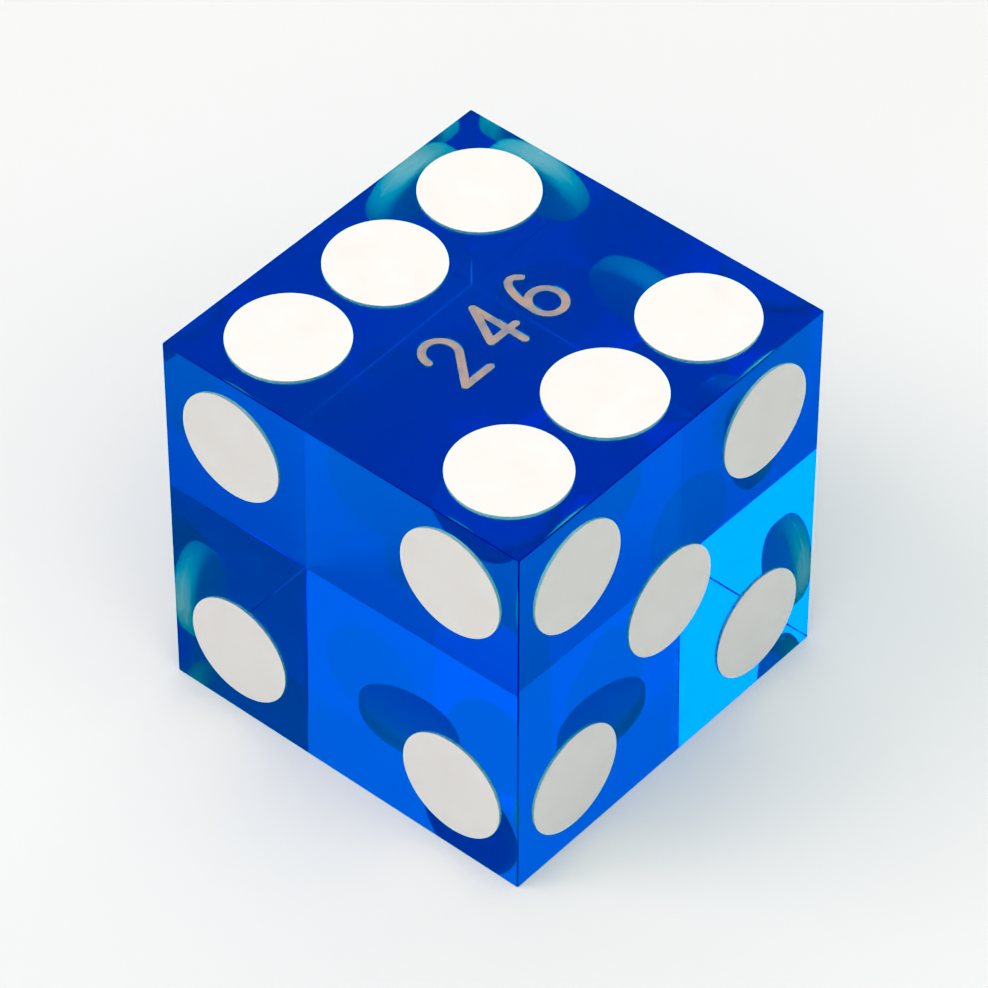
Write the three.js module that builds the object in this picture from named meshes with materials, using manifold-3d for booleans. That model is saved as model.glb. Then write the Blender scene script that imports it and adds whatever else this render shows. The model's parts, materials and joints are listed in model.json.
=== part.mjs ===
// A 19 mm (3/4 inch) precision casino die: a razor-edged block of transparent blue cellulose
// acetate, 21 drilled spots filled flush with white enamel, and a hot-stamped foil number.
//
// Frame: millimetres, origin at the centre of the cube, +Z out of the six, -Y out of the four and
// +X out of the five, so the one is underneath (-Z), the three behind (+Y) and the two left (-X).
// Opposite faces add up to seven, and one, two, three run anticlockwise round their corner.

import * as THREE from "three";
import { mergeVertices } from "three/addons/utils/BufferGeometryUtils.js";
import Module from "manifold-3d";

// ---- Driving dimensions ----

const EDGE = 19.05; // 3/4 inch
const HALF = EDGE / 2;

const PIP_DIAMETER = 5.25;
const PIP_DEPTH = 0.65;
const DRILL_CORNER = 0.4; // rounding between the wall and the floor of a drilled seat
const CORNER_STEPS = 2; // straight pieces in that rounding
const PIP_PITCH = 5.9; // centre spot to side spot, along either edge of a face
const PIP_SEGMENTS = 40;

const SEAT_GAP = 0.01; // clearance between an inlay and the seat cut for it, all round
const CUT_OVERRUN = 0.5; // how far a cutter stands out of the face it cuts

const DIGIT_HEIGHT = 3.2;
const DIGIT_WIDTH = 1.9;
const DIGIT_PITCH = 2.6;
const STROKE_WIDTH = 0.4;
const STAMP_DEPTH = 0.15; // the stamped impression that a digit lies in
const FOIL_THICKNESS = 0.1;
const SERIAL = [2, 4, 6];
const ARC_STEPS = 12; // straight pieces in a half turn of any curve of a digit

const ACETATE_BLUE = 0x0a46c8;
const ENAMEL_WHITE = 0xf4f2ee;
const FOIL_BRONZE = 0xb49a8c;

// ---- Solids ----

const wasm = await Module();
wasm.setup();

// A manifold-3d solid of a closed three.js geometry.
function solidOf(geometry) {
  const bare = geometry.clone();
  bare.deleteAttribute("normal");
  bare.deleteAttribute("uv");
  const merged = mergeVertices(bare, 1e-5);
  return new wasm.Manifold(
    new wasm.Mesh({
      numProp: 3,
      vertProperties: merged.attributes.position.array,
      triVerts: new Uint32Array(merged.index.array),
    }),
  );
}

// The same solid's surface as a three.js geometry with flat facets.
function geometryOf(solid) {
  const { vertProperties, triVerts, numProp } = solid.getMesh();
  const positions = new Float32Array(triVerts.length * 3);
  triVerts.forEach((vertex, corner) => {
    const start = vertex * numProp;
    positions.set(vertProperties.subarray(start, start + 3), corner * 3);
  });
  const geometry = new THREE.BufferGeometry();
  geometry.setAttribute("position", new THREE.BufferAttribute(positions, 3));
  geometry.computeVertexNormals();
  return geometry;
}

const point = (x, y) => new THREE.Vector2(x, y);

// ---- Faces ----

// Side faces stand up from a flat one turned about +Z; local +Z is always the outward normal,
// local +Y the way up and local +X the right hand of someone looking at the face.
const sideFace = (turn) => new THREE.Euler(Math.PI / 2, 0, turn, "ZYX");

// Spots are [place on the face, column, row], in pitches from the face's centre.
const CENTRE = ["centre", 0, 0];
const UPPER_LEFT = ["upper_left", -1, 1];
const UPPER_RIGHT = ["upper_right", 1, 1];
const LOWER_LEFT = ["lower_left", -1, -1];
const LOWER_RIGHT = ["lower_right", 1, -1];

const FACES = {
  one: { rotation: new THREE.Euler(Math.PI, 0, 0), spots: [CENTRE] },
  two: { rotation: sideFace(-Math.PI / 2), spots: [UPPER_LEFT, LOWER_RIGHT] },
  three: { rotation: sideFace(Math.PI), spots: [UPPER_RIGHT, CENTRE, LOWER_LEFT] },
  four: { rotation: sideFace(0), spots: [UPPER_LEFT, UPPER_RIGHT, LOWER_LEFT, LOWER_RIGHT] },
  five: {
    rotation: sideFace(Math.PI / 2),
    spots: [UPPER_LEFT, UPPER_RIGHT, CENTRE, LOWER_LEFT, LOWER_RIGHT],
  },
  six: {
    rotation: new THREE.Euler(0, 0, 0),
    spots: [
      ["left_front", -1, -1],
      ["left_middle", -1, 0],
      ["left_back", -1, 1],
      ["right_front", 1, -1],
      ["right_middle", 1, 0],
      ["right_back", 1, 1],
    ],
  },
};

// ---- Inlays ----

const seats = []; // what the block is cut by: { mesh of the inlay, geometry of its seat }

// Adds an inlay to a face, at a place on it, and notes the seat that it needs in the block.
function addInlay(parent, name, geometry, seatGeometry, material, x, y) {
  const mesh = new THREE.Mesh(geometry, material);
  mesh.name = name;
  mesh.position.set(x, y, HALF);
  parent.add(mesh);
  seats.push({ mesh, seatGeometry });
}

// What fills a drilled seat up to `top`, and is `grow` wider and deeper than an enamel spot.
function drilledSolid(grow, top) {
  const corner = DRILL_CORNER + grow;
  const centreX = PIP_DIAMETER / 2 - DRILL_CORNER;
  const centreY = DRILL_CORNER - PIP_DEPTH;
  const round = new THREE.EllipseCurve(centreX, centreY, corner, corner, -Math.PI / 2, 0);
  const profile = [
    point(0, centreY - corner),
    ...round.getPoints(CORNER_STEPS),
    point(centreX + corner, top),
    point(0, top),
  ];
  return new THREE.LatheGeometry(profile, PIP_SEGMENTS).rotateX(Math.PI / 2);
}

// ---- Digits: round-ended strokes of one width, each digit centred on its own origin ----

const REACH_X = (DIGIT_WIDTH - STROKE_WIDTH) / 2; // furthest that a centre line goes sideways
const REACH_Y = (DIGIT_HEIGHT - STROKE_WIDTH) / 2;
const BOWL = 0.8; // half the height of the six's ring and of the two's hook
const BAR = -0.5; // height of the four's crossbar
const STEM = 0.3; // how far right of centre the four's stem stands

// Points along an ellipse arc, clockwise where `to` is less than `from`.
function arc(x, y, radiusX, radiusY, from, to) {
  const steps = Math.ceil((Math.abs(to - from) / Math.PI) * ARC_STEPS);
  return new THREE.EllipseCurve(x, y, radiusX, radiusY, from, to, to < from).getPoints(steps);
}

// Points at a distance to the left of each point of a line, square to the line there.
function besideLine(line, distance) {
  return line.map((here, i) => {
    const along = line[Math.min(i + 1, line.length - 1)].clone().sub(line[Math.max(i - 1, 0)]);
    along.setLength(distance);
    return point(here.x - along.y, here.y + along.x);
  });
}

// The outline of a stroke: one side, round the far end, back along the other side, round the start.
function strokeShape(line, spread) {
  const heading = (from, to) => Math.atan2(to.y - from.y, to.x - from.x);
  const cap = (end, angle) =>
    arc(end.x, end.y, spread, spread, angle + Math.PI / 2, angle - Math.PI / 2).slice(1, -1);
  const [first, second] = line;
  const [beforeLast, last] = line.slice(-2);
  return new THREE.Shape([
    ...besideLine(line, spread),
    ...cap(last, heading(beforeLast, last)),
    ...besideLine(line, -spread).reverse(),
    ...cap(first, heading(second, first)),
  ]);
}

function ringShape(y, radiusX, radiusY, spread) {
  const loop = (grow) => arc(0, y, radiusX + grow, radiusY + grow, 0, 2 * Math.PI).slice(1);
  const shape = new THREE.Shape(loop(spread));
  shape.holes.push(new THREE.Path(loop(-spread)));
  return shape;
}

const DIGITS = {
  2: (spread) => {
    const hook = arc(0, REACH_Y - BOWL, REACH_X, BOWL, Math.PI, -Math.PI / 5);
    const foot = point(-REACH_X, -REACH_Y);
    return [
      strokeShape([...hook, foot], spread),
      strokeShape([foot, point(REACH_X, -REACH_Y)], spread),
    ];
  },
  4: (spread) => {
    const top = point(STEM, REACH_Y);
    const elbow = point(-REACH_X, BAR);
    return [
      strokeShape([top, elbow], spread),
      strokeShape([elbow, point(REACH_X, BAR)], spread),
      strokeShape([top, point(STEM, -REACH_Y)], spread),
    ];
  },
  6: (spread) => {
    const ringY = BOWL - REACH_Y;
    const back = arc(0, ringY, REACH_X, REACH_Y - ringY, Math.PI, Math.PI / 3);
    return [ringShape(ringY, REACH_X, BOWL, spread), strokeShape(back, spread)];
  },
};

// A digit that fills from `top` down to `bottom`, with strokes of a given width.
function digitGeometry(value, strokeWidth, bottom, top) {
  const strokes = DIGITS[value](strokeWidth / 2).map((shape) => {
    const settings = { depth: top - bottom, bevelEnabled: false };
    return solidOf(new THREE.ExtrudeGeometry(shape, settings).translate(0, 0, bottom));
  });
  return geometryOf(strokes.reduce((joined, stroke) => joined.add(stroke)));
}

// ---- The die ----

const acetate = new THREE.MeshStandardMaterial({
  color: ACETATE_BLUE,
  roughness: 0.05,
  metalness: 0,
  transparent: true,
  opacity: 0.7,
});
const enamel = new THREE.MeshStandardMaterial({ color: ENAMEL_WHITE, roughness: 0.3, metalness: 0 });
const foil = new THREE.MeshStandardMaterial({ color: FOIL_BRONZE, roughness: 0.4, metalness: 0.8 });

function buildPips(face, faceName, spots) {
  for (const [place, column, row] of spots) {
    addInlay(
      face,
      `pip_${faceName}_${place}`,
      drilledSolid(0, 0),
      drilledSolid(SEAT_GAP, CUT_OVERRUN),
      enamel,
      column * PIP_PITCH,
      row * PIP_PITCH,
    );
  }
}

// The number reads across the gap between the six's rows, its top towards the two.
function buildSerial(face) {
  const foilBottom = SEAT_GAP - STAMP_DEPTH;
  const line = new THREE.Group();
  line.rotation.z = Math.PI / 2;
  face.add(line);
  SERIAL.forEach((value, i) => {
    addInlay(
      line,
      `serial_digit_${i + 1}`,
      digitGeometry(value, STROKE_WIDTH, foilBottom, foilBottom + FOIL_THICKNESS),
      digitGeometry(value, STROKE_WIDTH + 2 * SEAT_GAP, -STAMP_DEPTH, CUT_OVERRUN),
      foil,
      (i - (SERIAL.length - 1) / 2) * DIGIT_PITCH,
      0,
    );
  });
}

// The block, less a seat for every inlay.
function buildBody() {
  const block = solidOf(new THREE.BoxGeometry(EDGE, EDGE, EDGE));
  const cut = seats.reduce((left, { mesh, seatGeometry }) => {
    const placed = seatGeometry.clone().applyMatrix4(mesh.matrixWorld);
    return left.subtract(solidOf(placed));
  }, block);
  const mesh = new THREE.Mesh(geometryOf(cut), acetate);
  mesh.name = "body";
  return mesh;
}

const die = new THREE.Group();
for (const [faceName, { rotation, spots }] of Object.entries(FACES)) {
  const face = new THREE.Group();
  face.rotation.copy(rotation);
  die.add(face);
  buildPips(face, faceName, spots);
  if (faceName === "six") buildSerial(face);
}
die.updateMatrixWorld(true);
die.add(buildBody());

export default die;
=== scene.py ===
import json
import math

import bmesh
import bpy
from mathutils import Matrix, Vector

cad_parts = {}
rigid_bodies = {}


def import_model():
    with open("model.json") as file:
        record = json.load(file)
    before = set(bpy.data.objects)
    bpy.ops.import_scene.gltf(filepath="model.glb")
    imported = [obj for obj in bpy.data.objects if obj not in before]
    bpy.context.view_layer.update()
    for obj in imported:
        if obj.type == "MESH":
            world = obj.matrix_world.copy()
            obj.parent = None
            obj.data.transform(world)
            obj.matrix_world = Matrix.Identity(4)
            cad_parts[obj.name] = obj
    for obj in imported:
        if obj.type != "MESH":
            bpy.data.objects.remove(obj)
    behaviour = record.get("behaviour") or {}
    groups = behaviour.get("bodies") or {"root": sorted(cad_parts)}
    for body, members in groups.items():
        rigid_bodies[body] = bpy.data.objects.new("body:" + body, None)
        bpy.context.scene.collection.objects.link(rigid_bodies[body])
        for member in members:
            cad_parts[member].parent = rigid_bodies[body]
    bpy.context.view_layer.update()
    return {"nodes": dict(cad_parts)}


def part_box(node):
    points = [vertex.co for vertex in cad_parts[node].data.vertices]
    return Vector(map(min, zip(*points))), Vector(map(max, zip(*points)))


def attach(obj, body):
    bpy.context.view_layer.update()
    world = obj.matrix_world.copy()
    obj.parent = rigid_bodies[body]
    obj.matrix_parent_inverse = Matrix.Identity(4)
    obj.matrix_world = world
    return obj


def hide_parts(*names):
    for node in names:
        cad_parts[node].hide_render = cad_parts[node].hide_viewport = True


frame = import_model()
nodes = frame["nodes"]

# ---- Sizes, in metres ----

MM = 0.001
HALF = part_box("body")[1].z  # half of the block's edge
EDGE_BREAK = 0.05 * MM  # the sharpness taken off along each edge of the block
DRILL_CORNER = 0.4 * MM  # rounding between the wall and the floor of a drilled seat
DRILL_CORNER_SEGMENTS = 8
SPOT_SEGMENTS = 128
SPOT_RIM = 0.02 * MM  # rounding of an enamel disc's outer rim
SPOT_RIM_SEGMENTS = 4
BOND = 0.004 * MM  # how far an inlay reaches into the acetate, so that no air film lies between
FOIL_ROLL = 0.03 * MM  # rounding of the foil's edge in its impression
FOIL_ROLL_SEGMENTS = 3
OUTLINE_SPAN = 0.02 * MM  # least distance between points of a figure's outline
MERGE_SPAN = 0.0001 * MM  # corners this close are the same corner, or lie in the same level
CUT_OVERRUN = 0.5 * MM  # how far a cutter stands out of the face it cuts
FLAT_TURN = math.radians(0.3)  # facets turned less than this from a face of the cube are part of it
CREASE_TURN = math.radians(50)  # facets turned more than this from each other meet in a crease
SHARPEST_CORNER = 0.5  # how far a sharp corner is held back as its outline grows
FLOOR_GAP = 0.02 * MM
FLOOR_RADIUS = 2.0
FLOOR_SEGMENTS = 96

# ---- Materials: linear colours, and absorption for each metre that light travels ----

ACETATE_IOR = 1.48
ACETATE_ABSORPTION = (500, 85, 2)
ACETATE_TINT = (0.0, 0.2, 1.0, 1)  # of what its faces mirror
EDGE_ROUGHNESS = 0.1
MARK_ROUGHNESS = 0.1
MARK_TURN = (0.3, -0.4, 0.6)  # how far askew the polishing hairlines lie, in radians about each axis
MARK_SPAN = (0.03 * MM, 4 * MM, 4 * MM)  # thickness and reach of the sheets that hairlines are cut from
ENAMEL_IOR = 1.5
ENAMEL_CREAM = (0.86, 0.805, 0.77, 1)
ENAMEL_WHITE = (0.90, 0.87, 0.845, 1)
ENAMEL_PINHOLE = (0.45, 0.45, 0.47, 1)
ENAMEL_GRAIN_SHARE = 0.25  # of its shading, the rest being clouds
PINHOLE_SHADE = 0.35
PINHOLE_DEPTH = 0.8  # in heights of the grain
FOIL_WARM = (0.44, 0.285, 0.25, 1), (0.57, 0.39, 0.33, 1)  # in the dips and on the crests of its grain
FOIL_THIN = (0.26, 0.22, 0.29, 1), (0.36, 0.295, 0.36, 1)
FLOOR_PALE = (0.80, 0.80, 0.80, 1), (0.82, 0.82, 0.82, 1)  # to the camera, faintly clouded
FLOOR_THROUGH = (0.7, 0.7, 0.7, 1)  # as light that goes through the die or between surfaces meets it
FLOOR_PAINTED_SHADE_IN_MIRRORS = (0.35, 0.35, 0.35, 1)  # painted shade: the floor as the die's faces mirror it, darker than it is to light

MIX_INPUTS = (0, 6, 7)  # a mix node's sockets for the share and the two colours
MIX_OUTPUT = 2

# ---- Studio: angles in degrees, with azimuths seen from the camera, positive to its right ----

CAMERA_AZIMUTH = 40.86
CAMERA_ELEVATION = 44.55
CAMERA_DISTANCE = 0.257
CAMERA_LENS = 225
TENT_FILL = (0.23, 0.24, 0.27)
TENT_GLOWS = (  # azimuth, elevation, reach and colour of each glow, and of one dark card
    (-82, 45, 21, (4.3, 3.7, 3.8)),
    (98, 45, 25, (-0.17, -0.21, -0.17)),
    (10, 66, 52, (2.00, 2.07, 1.87)),
    (180, 48, 50, (0.55, 0.55, 0.58)),
)
BACKDROP = (0.925, 0.925, 0.925, 1)
RED_BLACK = 0.07  # the least red that the film shows: a blue this deep has none
BOUNCES = 32  # enough for light that is mirrored many times inside the block
MIRROR_BOUNCES = 24

# ---- Mesh helpers ----


def add_object(name, bm, material):
    """Turns a bmesh into a linked object with a material."""
    mesh = bpy.data.meshes.new(name)
    bm.to_mesh(mesh)
    bm.free()
    mesh.materials.append(material)
    made = bpy.data.objects.new(name, mesh)
    bpy.context.scene.collection.objects.link(made)
    return made


def place_of(node):
    """An inlay's matrix, from a frame with +Z out of its face, and the inlay's radius and depth."""
    low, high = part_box(node)
    size = high - low
    middle = (low + high) / 2
    axis = min(range(3), key=lambda k: size[k])
    normal = Vector((0, 0, 0))
    normal[axis] = math.copysign(1, middle[axis])
    outer = middle.copy()
    outer[axis] = math.copysign(HALF, middle[axis])
    turn = normal.to_track_quat("Z", "Y").to_matrix().to_4x4()
    radius = max(size) / 2
    return Matrix.Translation(outer) @ turn, radius, size[axis]


def lathe(bm, profile, segments):
    """A closed solid of revolution about Z; its profile runs down from the axis to the axis."""
    rings = []
    for radius, z in profile[1:-1]:
        ring = []
        for i in range(segments):
            angle = 2 * math.pi * i / segments
            ring.append(bm.verts.new((radius * math.cos(angle), radius * math.sin(angle), z)))
        rings.append(ring)
    bm.faces.new(rings[0])
    for upper, lower in zip(rings, rings[1:]):
        for i in range(segments):
            j = (i + 1) % segments
            bm.faces.new((upper[i], lower[i], lower[j], upper[j]))
    bm.faces.new(list(reversed(rings[-1])))


def smooth_round_parts(mesh):
    """Smooths the facets of rounds and walls, and keeps the plane faces and their borders sharp."""
    bm = bmesh.new()
    bm.from_mesh(mesh)
    for face in bm.faces:
        face.smooth = max(map(abs, face.normal)) < math.cos(FLAT_TURN)
    for edge in bm.edges:
        plane = [not face.smooth for face in edge.link_faces]
        sharp_turn = edge.is_manifold and edge.calc_face_angle() > CREASE_TURN
        edge.smooth = not (any(plane) or sharp_turn)
    bm.to_mesh(mesh)
    bm.free()


def hand_in(piece, node):
    """Makes a piece stand for a CAD node, on the die's one body."""
    smooth_round_parts(piece.data)
    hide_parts(node)
    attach(piece, "root")


def quarter_turn(segments):
    """Angles from 0 to a right angle."""
    return [math.pi / 2 * i / segments for i in range(segments + 1)]


# ---- Cutters and block ----


def seat_profile(radius, depth, grow):
    """A drilled seat from wall to axis, with the drill's rounded corner, `grow` bigger all round."""
    corner = DRILL_CORNER + grow
    centre_x = radius - DRILL_CORNER
    centre_z = DRILL_CORNER - depth
    around = [
        (centre_x + corner * math.cos(turn), centre_z - corner * math.sin(turn))
        for turn in quarter_turn(DRILL_CORNER_SEGMENTS)
    ]
    return around + [(0, -depth - grow)]


def spot_cutter(node):
    """What a spot's seat is cut with."""
    matrix, radius, depth = place_of(node)
    bm = bmesh.new()
    lathe(bm, [(0, CUT_OVERRUN), (radius, CUT_OVERRUN)] + seat_profile(radius, depth, 0), SPOT_SEGMENTS)
    bm.transform(matrix)
    return bm


def figure_outline(node):
    """The loops of points round a CAD figure's top, with its material to the left of each loop's way."""
    bm = bmesh.new()
    bm.from_mesh(nodes[node].data)
    bmesh.ops.remove_doubles(bm, verts=bm.verts, dist=MERGE_SPAN)
    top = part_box(node)[1].z
    top_faces = {face for face in bm.faces if face.calc_center_median().z > top - MERGE_SPAN}
    following = {}
    for face in bm.faces:
        for corner in face.loops:
            if face in top_faces and not top_faces.issuperset(corner.edge.link_faces):
                following[corner.vert] = corner.link_loop_next.vert
    loops = []
    while following:
        start, vertex = following.popitem()
        loop = [start.co.xy]
        while vertex != start:
            if min((vertex.co.xy - end).length for end in (loop[-1], loop[0])) > OUTLINE_SPAN:
                loop.append(vertex.co.xy)
            vertex = following.pop(vertex)
        loops.append(loop)
    bm.free()
    return loops


def grown(loop, distance):
    """A loop moved outwards, square to its own line, and held back at its sharpest corners."""
    moved = []
    for i, here in enumerate(loop):
        arriving = (here - loop[i - 1]).normalized()
        leaving = (loop[(i + 1) % len(loop)] - here).normalized()
        outward = Vector((arriving.y + leaving.y, -arriving.x - leaving.x))
        moved.append(here + outward * distance / max(1 + arriving.dot(leaving), SHARPEST_CORNER))
    return moved


def upright_solid(outline, levels):
    """A closed solid from level to level, lowest first; a level is how much the outline grows, and z."""
    bm = bmesh.new()
    for loop in outline:
        rings = [[bm.verts.new((*point, z)) for point in grown(loop, grow)] for grow, z in levels]
        for lower, upper in zip(rings, rings[1:]):
            for i in range(len(loop)):
                j = (i + 1) % len(loop)
                bm.faces.new((lower[i], lower[j], upper[j], upper[i]))
    for (_, z), way in ((levels[0], -1), (levels[-1], 1)):
        level = {vertex for vertex in bm.verts if abs(vertex.co.z - z) < MERGE_SPAN}
        border = [edge for edge in bm.edges if edge.is_boundary and all(end in level for end in edge.verts)]
        bmesh.ops.triangle_fill(bm, use_beauty=True, edges=border, normal=(0, 0, way))
    return bm


def figure_cutter(node):
    """The stamped impression of a figure, drawn up through the face."""
    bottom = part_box(node)[0].z + BOND
    return upright_solid(figure_outline(node), [(0, bottom), (0, HALF + CUT_OVERRUN)])


def put_in_order(mesh):
    """Numbers a mesh's parts by where they lie, because a boolean leaves them in no fixed order."""
    bm = bmesh.new()
    bm.from_mesh(mesh)
    renumber(bm.verts, lambda vertex: vertex.co.to_tuple())
    for parts in (bm.edges, bm.faces):
        renumber(parts, lambda part: sorted(vertex.index for vertex in part.verts))
    bm.to_mesh(mesh)
    bm.free()


def renumber(parts, key):
    """Puts the vertices, edges or faces of a mesh in the order of a key."""
    for i, part in enumerate(sorted(parts, key=key)):
        part.index = i
    parts.sort()


def cut(piece, cutters):
    """Cuts a piece by meshes, with the exact boolean, and leaves no modifier on it."""
    group = bpy.data.collections.new("cutters")
    bpy.context.scene.collection.children.link(group)
    for i, bm in enumerate(cutters):
        mesh = bpy.data.meshes.new(f"cutter_{i}")
        bm.to_mesh(mesh)
        bm.free()
        group.objects.link(bpy.data.objects.new(f"cutter_{i}", mesh))
    boolean = piece.modifiers.new("cut", "BOOLEAN")
    boolean.operation = "DIFFERENCE"
    boolean.operand_type = "COLLECTION"
    boolean.collection = group
    boolean.solver = "EXACT"
    whole = piece.data
    depsgraph = bpy.context.evaluated_depsgraph_get()
    piece.data = bpy.data.meshes.new_from_object(piece.evaluated_get(depsgraph))
    piece.modifiers.clear()
    put_in_order(piece.data)
    bpy.data.meshes.remove(whole)
    for cutter in list(group.objects):
        bpy.data.meshes.remove(cutter.data)
    bpy.data.collections.remove(group)


def build_block(material, spots, figures):
    """The block, with its edges broken and its seats and impressions cut."""
    bm = bmesh.new()
    bmesh.ops.create_cube(bm, size=2 * HALF)
    bmesh.ops.bevel(bm, geom=bm.edges[:], offset=EDGE_BREAK, segments=1, affect="EDGES")
    block = add_object("acetate_block", bm, material)
    cut(block, [spot_cutter(node) for node in spots] + [figure_cutter(node) for node in figures])
    hand_in(block, "body")


# ---- Inlays ----


def build_spot(node, material):
    """An enamel spot, which fills its seat and has a rounded outer rim."""
    matrix, radius, depth = place_of(node)
    inner = radius + BOND - SPOT_RIM
    rim = [
        (inner + SPOT_RIM * math.sin(turn), SPOT_RIM * (math.cos(turn) - 1))
        for turn in quarter_turn(SPOT_RIM_SEGMENTS)
    ]
    bm = bmesh.new()
    lathe(bm, [(0, 0)] + rim + seat_profile(radius, depth, BOND), SPOT_SEGMENTS)
    bm.transform(matrix)
    hand_in(add_object(node.replace("pip_", "spot_"), bm, material), node)


def build_figure(node, material):
    """A foil figure, a hair wider than its impression, with its upper edge rolled over."""
    low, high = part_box(node)
    roll = [
        (BOND - FOIL_ROLL * (1 - math.cos(turn)), high.z - FOIL_ROLL * (1 - math.sin(turn)))
        for turn in quarter_turn(FOIL_ROLL_SEGMENTS)
    ]
    bm = upright_solid(figure_outline(node), [(BOND, low.z)] + roll)
    hand_in(add_object(node.replace("serial_digit", "foil_figure"), bm, material), node)


# ---- Materials ----


def add_node(tree, kind, inputs=None, **settings):
    """A node with its settings, and with its inputs given as values or as other nodes' outputs."""
    made = tree.nodes.new(kind)
    for name, value in settings.items():
        setattr(made, name, value)
    set_inputs(tree, made, inputs or {})
    return made


def set_inputs(tree, node, inputs):
    """Gives a node's named inputs values or other nodes' outputs."""
    plug(tree, inputs.values(), [node.inputs[name] for name in inputs])


def new_material(name):
    """A material, its node tree, its shader and the object's own coordinates, in metres."""
    material = bpy.data.materials.new(name)
    material.use_nodes = True
    tree = material.node_tree
    place = add_node(tree, "ShaderNodeTexCoord").outputs["Object"]
    return material, tree, tree.nodes["Principled BSDF"], place


def noise(tree, place, size, detail):
    """Cloudy noise from 0 to 1, whose blotches are about `size` across."""
    inputs = {"Vector": place, "Scale": 1 / size, "Detail": detail}
    return add_node(tree, "ShaderNodeTexNoise", inputs).outputs["Fac"]


def remap(tree, value, source, target=(0, 1), way="LINEAR"):
    """A value moved from its source range to a target range, and held inside it."""
    inputs = {"Value": value}
    inputs["From Min"], inputs["From Max"] = source
    inputs["To Min"], inputs["To Max"] = target
    return add_node(tree, "ShaderNodeMapRange", inputs, interpolation_type=way).outputs["Result"]


def blend_colours(tree, share, first, second):
    """The first colour where the share is 0, the second where it is 1."""
    mix = add_node(tree, "ShaderNodeMix", data_type="RGBA")
    plug(tree, (share, first, second), [mix.inputs[i] for i in MIX_INPUTS])
    return mix.outputs[MIX_OUTPUT]


def plug(tree, values, sockets):
    """Gives sockets, in order, values or other nodes' outputs."""
    for value, socket in zip(values, sockets):
        if isinstance(value, bpy.types.NodeSocket):
            tree.links.new(value, socket)
        else:
            socket.default_value = value


def combine(tree, operation, first, second):
    """The result of an operation on two numbers."""
    maths = add_node(tree, "ShaderNodeMath", operation=operation)
    plug(tree, (first, second), maths.inputs)
    return maths.outputs[0]


def combine_vectors(tree, operation, first, second):
    """A vector operation's result; SCALE takes a number second, and DOT_PRODUCT gives a number."""
    maths = add_node(tree, "ShaderNodeVectorMath", operation=operation)
    second_input = maths.inputs["Scale" if operation == "SCALE" else 1]
    plug(tree, (first, second), (maths.inputs[0], second_input))
    return maths.outputs["Value" if operation == "DOT_PRODUCT" else "Vector"]


def bump(tree, height, depth, strength=1.0, **more):
    """A normal that stands for a relief, `depth` deep, whose height goes from 0 to 1."""
    inputs = {"Height": height, "Distance": depth, "Strength": strength, **more}
    return add_node(tree, "ShaderNodeBump", inputs).outputs["Normal"]


def specks(tree, place, spacing, radius):
    """1 in a few small round specks, 0 elsewhere."""
    cells = add_node(tree, "ShaderNodeTexVoronoi", {"Vector": place, "Scale": 1 / spacing})
    distance = cells.outputs["Distance"]
    outer = radius / spacing
    return remap(tree, distance, (outer / 2, outer), (1, 0))


def polish_marks(tree, place):
    """1 along straight hairlines that cross every face of the block askew, 0 elsewhere."""
    sheets = {"Vector": place, "Rotation": MARK_TURN, "Scale": MARK_SPAN}
    askew = add_node(tree, "ShaderNodeMapping", sheets, vector_type="TEXTURE").outputs["Vector"]
    return remap(tree, noise(tree, askew, size=1, detail=2), (0.66, 0.76))


def block_edges(tree, place):
    """1 on the narrow breaks along the block's edges, where two coordinates are large, 0 elsewhere."""
    large = 0
    for coordinate in add_node(tree, "ShaderNodeSeparateXYZ", {"Vector": place}).outputs:
        distance = combine(tree, "ABSOLUTE", coordinate, 0)
        beyond = combine(tree, "GREATER_THAN", distance, HALF - EDGE_BREAK)
        large = combine(tree, "ADD", large, beyond)
    return combine(tree, "GREATER_THAN", large, 1.5)


def acetate_material():
    """Polished transparent blue acetate: the colour comes from the depth that light travels in it.

    Its faces are nearly flat, with hairlines from the polishing wheel, and its edges are less polished.
    """
    material, tree, shader, place = new_material("blue_acetate")
    marks = polish_marks(tree, place)
    on_faces = remap(tree, marks, (0, 1), (0, MARK_ROUGHNESS))
    on_edges = combine(tree, "MULTIPLY", block_edges(tree, place), EDGE_ROUGHNESS)
    swell = bump(tree, noise(tree, place, size=4 * MM, detail=1), depth=0.004 * MM)
    scored = bump(tree, combine(tree, "SUBTRACT", 0, marks), depth=0.0006 * MM, Normal=swell)
    inputs = {
        "Base Color": (1, 1, 1, 1),
        "Roughness": combine(tree, "MAXIMUM", on_faces, on_edges),
        "IOR": ACETATE_IOR,
        "Specular Tint": ACETATE_TINT,
        "Transmission Weight": 1.0,
        "Normal": scored,
    }
    set_inputs(tree, shader, inputs)
    density = max(ACETATE_ABSORPTION)
    clearness = [1 - absorption / density for absorption in ACETATE_ABSORPTION]
    inputs = {"Color": (*clearness, 1), "Density": density}
    volume = add_node(tree, "ShaderNodeVolumeAbsorption", inputs)
    tree.links.new(volume.outputs[0], tree.nodes["Material Output"].inputs["Volume"])
    return material


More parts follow.
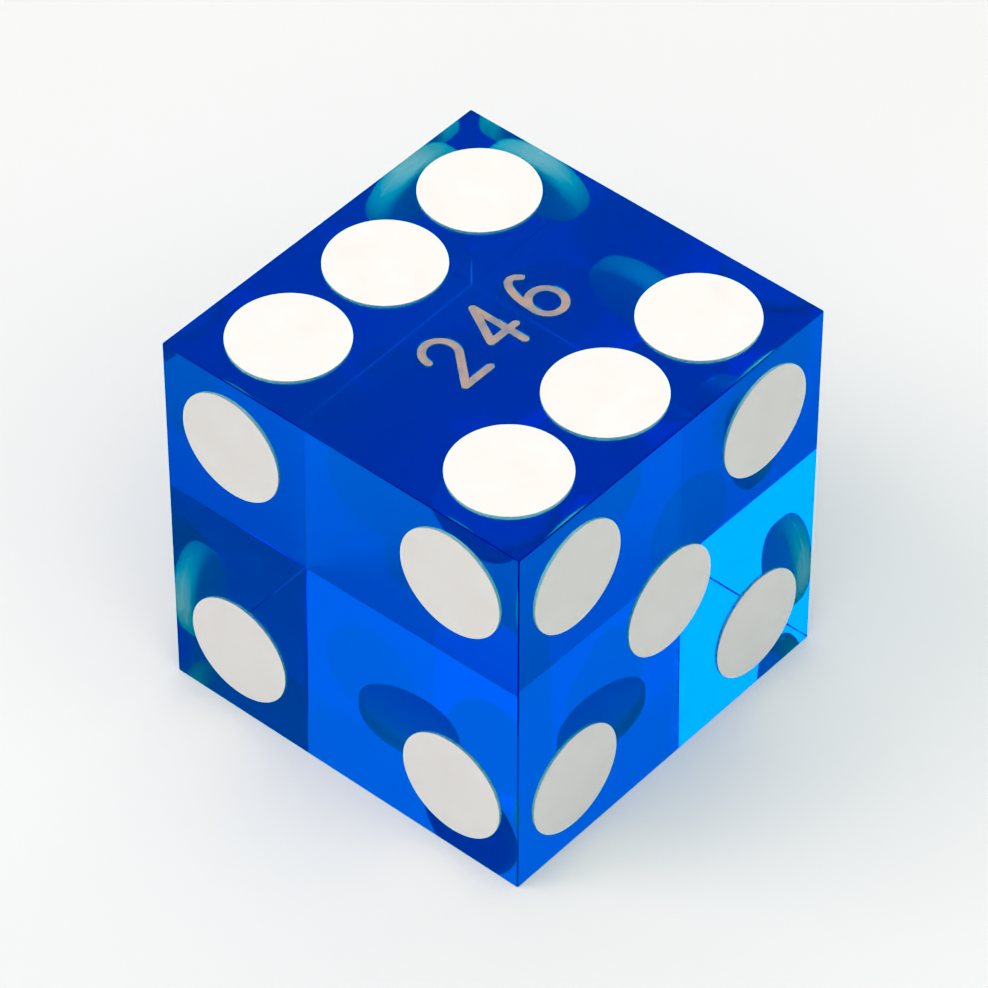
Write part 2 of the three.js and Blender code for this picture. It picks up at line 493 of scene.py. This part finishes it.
def enamel_material():
    """Warm white spot enamel, ground and polished: faint clouding, a fine grain and a few pinholes."""
    material, tree, shader, place = new_material("white_enamel")
    cloud = noise(tree, place, size=1.6 * MM, detail=4)
    grain = noise(tree, place, size=0.09 * MM, detail=2)
    pinholes = specks(tree, place, spacing=0.55 * MM, radius=0.035 * MM)
    from_cloud = combine(tree, "MULTIPLY", cloud, 1 - ENAMEL_GRAIN_SHARE)
    from_grain = combine(tree, "MULTIPLY", grain, ENAMEL_GRAIN_SHARE)
    tone = combine(tree, "ADD", from_cloud, from_grain)
    clean = blend_colours(tree, remap(tree, tone, (0.3, 0.7)), ENAMEL_CREAM, ENAMEL_WHITE)
    shade = combine(tree, "MULTIPLY", pinholes, PINHOLE_SHADE)
    height = combine(tree, "SUBTRACT", grain, combine(tree, "MULTIPLY", pinholes, PINHOLE_DEPTH))
    inputs = {
        "Base Color": blend_colours(tree, shade, clean, ENAMEL_PINHOLE),
        "Roughness": remap(tree, grain, (0.3, 0.7), (0.3, 0.44)),
        "Normal": bump(tree, height, depth=0.004 * MM, strength=0.2),
        "IOR": ENAMEL_IOR,
    }
    set_inputs(tree, shader, inputs)
    return material


def foil_material():
    """Pale bronze stamping foil: warm where it lies thick, greyer where it is thin, with a fine grain."""
    material, tree, shader, place = new_material("bronze_foil")
    grain = noise(tree, place, size=0.06 * MM, detail=3)
    cloud = noise(tree, place, size=0.8 * MM, detail=2)
    crests = remap(tree, grain, (0.35, 0.65))
    warm = blend_colours(tree, crests, *FOIL_WARM)
    thin = blend_colours(tree, crests, *FOIL_THIN)
    inputs = {
        "Base Color": blend_colours(tree, remap(tree, cloud, (0.35, 0.6)), thin, warm),
        "Metallic": 0.35,
        "Roughness": remap(tree, grain, (0.3, 0.7), (0.4, 0.58)),
        "Normal": bump(tree, combine(tree, "ADD", grain, cloud), depth=0.01 * MM, strength=0.6),
    }
    set_inputs(tree, shader, inputs)
    return material


def floor_material():
    """A pale matt sheet with the faintest tooth, paler to the camera than to the die, with painted shade
    where the die's faces mirror it.
    """
    material, tree, shader, place = new_material("pale_floor")
    tooth = noise(tree, place, size=0.6 * MM, detail=4)
    cloud = noise(tree, place, size=40 * MM, detail=2)
    pale = blend_colours(tree, remap(tree, cloud, (0.3, 0.7)), *FLOOR_PALE)
    path = add_node(tree, "ShaderNodeLightPath").outputs
    # painted shade: the floor turns darker where the die's faces mirror it
    mirror_rays_painted_shade = combine(tree, "MULTIPLY", path["Is Glossy Ray"], path["Is Reflection Ray"])
    dim = blend_colours(tree, mirror_rays_painted_shade, FLOOR_THROUGH, FLOOR_PAINTED_SHADE_IN_MIRRORS)
    inputs = {
        "Base Color": blend_colours(tree, path["Is Camera Ray"], dim, pale),
        "Roughness": 0.85,
        "Normal": bump(tree, tooth, depth=0.02 * MM, strength=0.3),
    }
    set_inputs(tree, shader, inputs)
    return material


# ---- Stage ----


def build_floor():
    """A wide sheet, a hair below the die so that the two don't touch."""
    bm = bmesh.new()
    bmesh.ops.create_circle(bm, cap_ends=True, segments=FLOOR_SEGMENTS, radius=FLOOR_RADIUS)
    floor = add_object("floor", bm, floor_material())
    floor.location.z = -HALF - FLOOR_GAP


def toward(azimuth, elevation):
    """The way to a place on the dome: azimuth 0 is over -Y, and grows towards +X."""
    turn, rise = math.radians(azimuth), math.radians(elevation)
    return Vector((math.sin(turn) * math.cos(rise), -math.cos(turn) * math.cos(rise), math.sin(rise)))


def build_light():
    """A light tent: glows on a dim dome, which the camera itself sees as a plain pale backdrop."""
    world = bpy.data.worlds.new("light_tent")
    bpy.context.scene.world = world
    world.use_nodes = True
    tree = world.node_tree
    way = add_node(tree, "ShaderNodeTexCoord").outputs["Generated"]
    total = TENT_FILL
    for azimuth, elevation, reach, colour in TENT_GLOWS:
        centre = toward(CAMERA_AZIMUTH + azimuth, elevation)
        nearness = combine_vectors(tree, "DOT_PRODUCT", way, centre)
        share = remap(tree, nearness, (math.cos(math.radians(reach)), 1), way="SMOOTHSTEP")
        glow = combine_vectors(tree, "SCALE", colour, share)
        total = combine_vectors(tree, "ADD", total, glow)
    seen = add_node(tree, "ShaderNodeLightPath").outputs["Is Camera Ray"]
    colour = blend_colours(tree, seen, total, BACKDROP)
    tree.links.new(colour, tree.nodes["Background"].inputs["Color"])


def build_camera():
    """A long lens, aimed at the middle of the die."""
    camera_data = bpy.data.cameras.new("camera")
    camera_data.lens = CAMERA_LENS
    camera = bpy.data.objects.new("camera", camera_data)
    back = toward(CAMERA_AZIMUTH, CAMERA_ELEVATION)
    camera.location = back * CAMERA_DISTANCE
    camera.rotation_euler = back.to_track_quat("Z", "Y").to_euler()
    bpy.context.scene.collection.objects.link(camera)
    bpy.context.scene.camera = camera


def set_film():
    """A plain film that loses the lowest reds, and enough bounces for clear acetate."""
    scene = bpy.context.scene
    scene.view_settings.view_transform = "Standard"
    scene.view_settings.use_curve_mapping = True
    scene.view_settings.curve_mapping.black_level = (RED_BLACK, 0, 0)
    scene.view_settings.curve_mapping.update()
    scene.cycles.max_bounces = BOUNCES
    scene.cycles.glossy_bounces = MIRROR_BOUNCES
    scene.cycles.transmission_bounces = MIRROR_BOUNCES
    scene.cycles.denoising_input_passes = "RGB"


# ---- The scene ----

spot_nodes = sorted(name for name in nodes if name.startswith("pip_"))
figure_nodes = sorted(name for name in nodes if name.startswith("serial_digit_"))

build_block(acetate_material(), spot_nodes, figure_nodes)
enamel = enamel_material()
for name in spot_nodes:
    build_spot(name, enamel)
foil = foil_material()
for name in figure_nodes:
    build_figure(name, foil)
build_floor()
build_light()
build_camera()
set_film()
